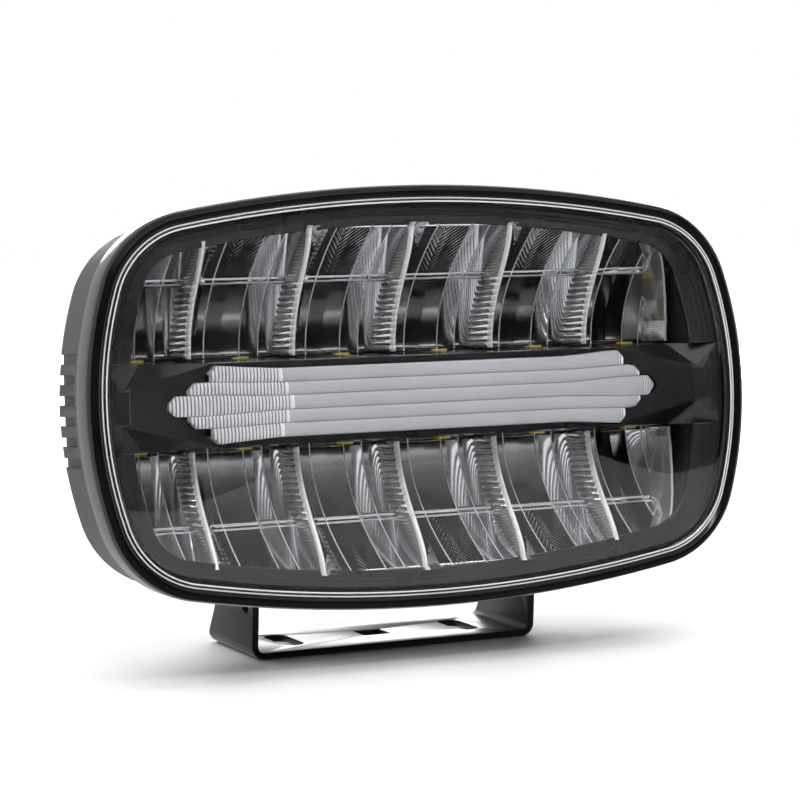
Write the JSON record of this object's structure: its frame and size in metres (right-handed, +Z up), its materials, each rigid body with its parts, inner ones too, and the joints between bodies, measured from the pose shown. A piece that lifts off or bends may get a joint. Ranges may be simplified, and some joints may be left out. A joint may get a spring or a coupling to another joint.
{
  "type": "auxiliary driving lamp",
  "caption": "Rounded rectangular LED driving lamp with two rows of reflector cells, a milky centre light bar and a U bracket that tilts.",
  "frame": {"origin": "middle of the bounding box's bottom face, in the plane of the bracket's underside", "axes": "+X to the right as the lamp is seen from the front, -Y the way the lamp shines, +Z up"},
  "size_m": [0.32, 0.11, 0.2121],
  "materials": {
    "gloss_black_plastic": "high gloss black moulding",
    "clear_polycarbonate": "clear, hard coated and polished",
    "black_silicone": "matt moulded silicone",
    "satin_black_plastic": "satin black moulding",
    "milky_diffuser": "milky diffuser with fine vertical prisms",
    "white_board": "white solder mask",
    "black_board": "black solder mask",
    "green_board": "green solder mask",
    "metallised_reflector": "vacuum metallised plastic, mirror bright",
    "led_phosphor": "yellow phosphor",
    "bare_aluminium": "bare extrusion",
    "cast_aluminium": "dark powder coat over die casting",
    "powder_coated_steel": "fine textured black powder coat",
    "black_steel": "black oxide",
    "zinc_steel": "bright zinc plate",
    "ferrite": "matt ferrite",
    "capacitor_sleeve": "printed sleeve, left plain"
  },
  "bodies": {
    "bracket": {"mounting_bracket": "powder_coated_steel"},
    "lamp": {"front_bezel": "gloss_black_plastic", "front_lens": "clear_polycarbonate", "lens_gasket": "black_silicone", "inner_mask": "satin_black_plastic", "center_trim": "satin_black_plastic", "light_bar_lens": "milky_diffuser", "light_bar_board": "white_board", "upper_reflector": "metallised_reflector", "lower_reflector": "metallised_reflector", "upper_led_board": "black_board", "lower_led_board": "black_board", "led_heat_spreader": "bare_aluminium", "rear_housing": "cast_aluminium", "cable_gland_body": "black_steel", "cable_gland_nut": "black_steel", "cable_gland_seal": "black_silicone", "breather_vent": "satin_black_plastic", "driver_board": "green_board", "driver_inductor": "ferrite", "driver_capacitor_1": "capacitor_sleeve", "driver_capacitor_2": "capacitor_sleeve", "driver_connector": "satin_black_plastic", "upper_led_1": "led_phosphor", "upper_led_2": "led_phosphor", "upper_led_3": "led_phosphor", "upper_led_4": "led_phosphor", "upper_led_5": "led_phosphor", "upper_led_6": "led_phosphor", "lower_led_1": "led_phosphor", "lower_led_2": "led_phosphor", "lower_led_3": "led_phosphor", "lower_led_4": "led_phosphor", "lower_led_5": "led_phosphor", "lower_led_6": "led_phosphor", "driver_screw_1": "zinc_steel", "driver_screw_2": "zinc_steel", "driver_screw_3": "zinc_steel", "driver_screw_4": "zinc_steel", "left_tooth_washer": "zinc_steel", "left_flat_washer": "zinc_steel", "left_spring_washer": "zinc_steel", "left_pivot_bolt": "black_steel", "right_tooth_washer": "zinc_steel", "right_flat_washer": "zinc_steel", "right_spring_washer": "zinc_steel", "right_pivot_bolt": "black_steel"}
  },
  "joints": [
    {"name": "tilt", "type": "hinge", "parent": "bracket", "child": "lamp", "pos_m": [0, 0.01777, 0.053], "axis": [-1, 0, 0], "range_deg": [-15, 20]}
  ]
}
